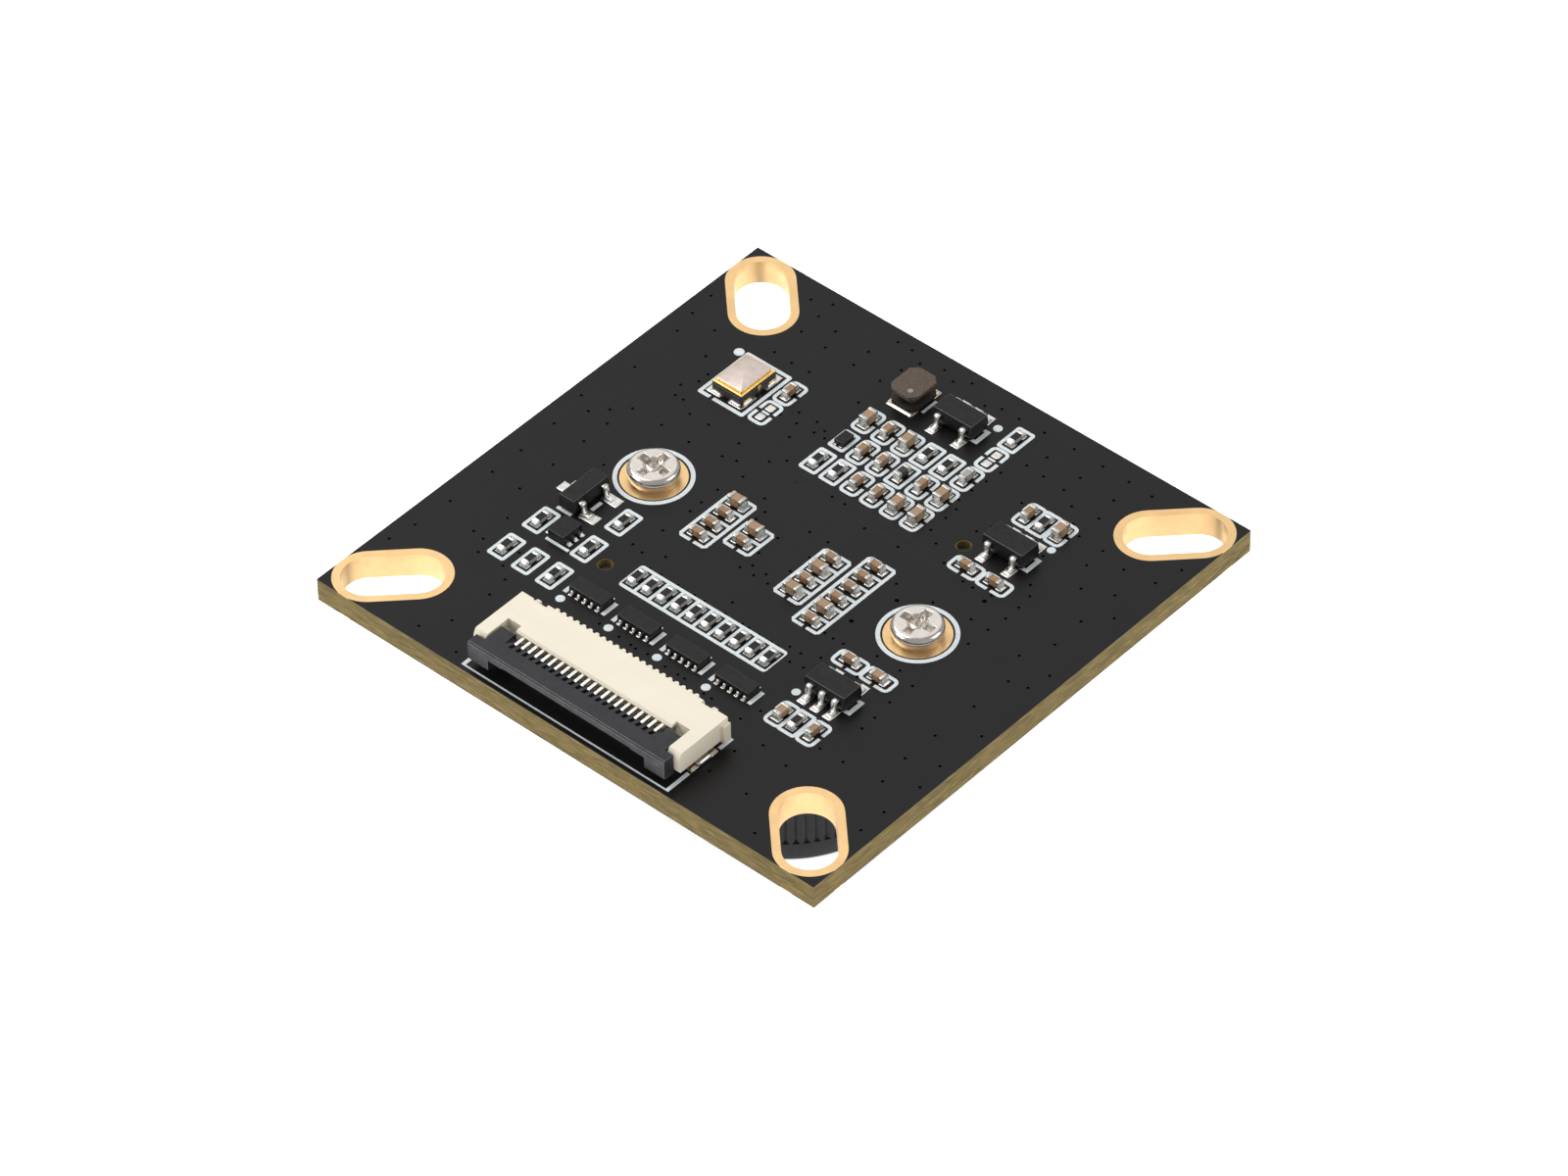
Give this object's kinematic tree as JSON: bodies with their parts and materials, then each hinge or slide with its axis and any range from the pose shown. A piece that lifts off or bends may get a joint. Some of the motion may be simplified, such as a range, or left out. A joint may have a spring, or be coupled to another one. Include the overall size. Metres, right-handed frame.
{
  "type": "board camera module",
  "caption": "Square board camera with a lens in a screwed holder under the board, corner slots for fixing, surface-mounted chips and a flat-cable connector with a flip latch.",
  "frame": {"origin": "centre of the lens's front rim, on which the module stands, on the optical axis", "axes": "+Z along the optical axis from the lens to the component side of the board; +X along the board edge that carries the cable connector; +Y from that edge towards the opposite edge"},
  "size_m": [0.0376, 0.0376, 0.0196],
  "materials": {
    "laminate": "sawn glass-fibre laminate",
    "solder_mask": "black solder mask, semi-gloss",
    "legend_ink": "printed, matt",
    "gold": "immersion gold, satin",
    "solder": "bright tin solder",
    "alumina": "white ceramic",
    "glaze": "black resistor glaze",
    "tin_ends": "tinned, satin",
    "small_cap_ceramic": "brown ceramic, satin",
    "large_cap_ceramic": "tan ceramic, satin",
    "grey_ceramic": "light grey ceramic",
    "ferrite": "black ferrite",
    "drum_ferrite": "brown ferrite, matt",
    "winding": "varnished winding in resin",
    "copper_ends": "silvered copper, satin",
    "mould_compound": "black moulding compound",
    "lead_tin": "tinned leads",
    "crystal_ceramic": "black ceramic",
    "seal_gold": "gold plated, polished",
    "lid_metal": "plated lid, satin",
    "housing_plastic": "natural liquid-crystal polymer",
    "contact_metal": "tinned phosphor bronze",
    "latch_plastic": "dark grey polymer",
    "tab_metal": "bare and soldered bronze",
    "screw_nickel": "nickel-plated steel",
    "holder_plastic": "black, fine texture",
    "barrel_metal": "black anodised, satin",
    "lens_glass": "coated optical glass",
    "spacer_metal": "black anodised, matt",
    "filter_glass": "infrared-blocking glass",
    "package_ceramic": "dark ceramic",
    "silicon": "polished silicon",
    "cover_glass": "clear cover glass"
  },
  "bodies": {
    "module": {"laminate": "laminate", "component_side_mask": "solder_mask", "lens_side_mask": "solder_mask", "legend_print": "legend_ink", "slot_linings": "gold", "screw_lands": "gold", "solder_lands": "solder", "solder_fillets": "solder", "resistor_bodies": "alumina", "resistor_glazes": "glaze", "resistor_end_caps": "tin_ends", "small_capacitor_bodies": "small_cap_ceramic", "small_capacitor_end_caps": "tin_ends", "large_capacitor_bodies": "large_cap_ceramic", "large_capacitor_end_caps": "tin_ends", "grey_capacitor_body": "grey_ceramic", "grey_capacitor_end_caps": "tin_ends", "ferrite_bead_body": "ferrite", "ferrite_bead_end_caps": "tin_ends", "inductor_core": "drum_ferrite", "inductor_winding": "winding", "inductor_terminals": "copper_ends", "rear_regulator_body": "mould_compound", "rear_regulator_leads": "lead_tin", "upper_regulator_body": "mould_compound", "upper_regulator_leads": "lead_tin", "lower_regulator_body": "mould_compound", "lower_regulator_leads": "lead_tin", "transistor_body": "mould_compound", "transistor_leads": "lead_tin", "logic_chip_body": "mould_compound", "logic_chip_leads": "lead_tin", "switch_chip": "mould_compound", "line_filter_bodies": "mould_compound", "line_filter_terminals": "lead_tin", "crystal_base": "crystal_ceramic", "crystal_seal_ring": "seal_gold", "crystal_lid": "lid_metal", "fpc_housing": "housing_plastic", "fpc_contacts": "contact_metal", "fpc_anchor_tabs": "tab_metal", "holder_screws": "screw_nickel", "lens_holder": "holder_plastic", "lens_barrel": "barrel_metal", "lens_retaining_ring": "barrel_metal", "front_lens": "lens_glass", "front_spacer": "spacer_metal", "middle_lens": "lens_glass", "rear_spacer": "spacer_metal", "rear_lens": "lens_glass", "infrared_filter": "filter_glass", "sensor_package": "package_ceramic", "sensor_die": "silicon", "sensor_cover_glass": "cover_glass"},
    "latch": {"fpc_latch": "latch_plastic"}
  },
  "joints": [
    {"name": "latch_hinge", "type": "hinge", "parent": "module", "child": "latch", "pos_m": [0, -0.01655, 0.019], "axis": [-1, 0, 0], "range_deg": [0, 90]}
  ]
}
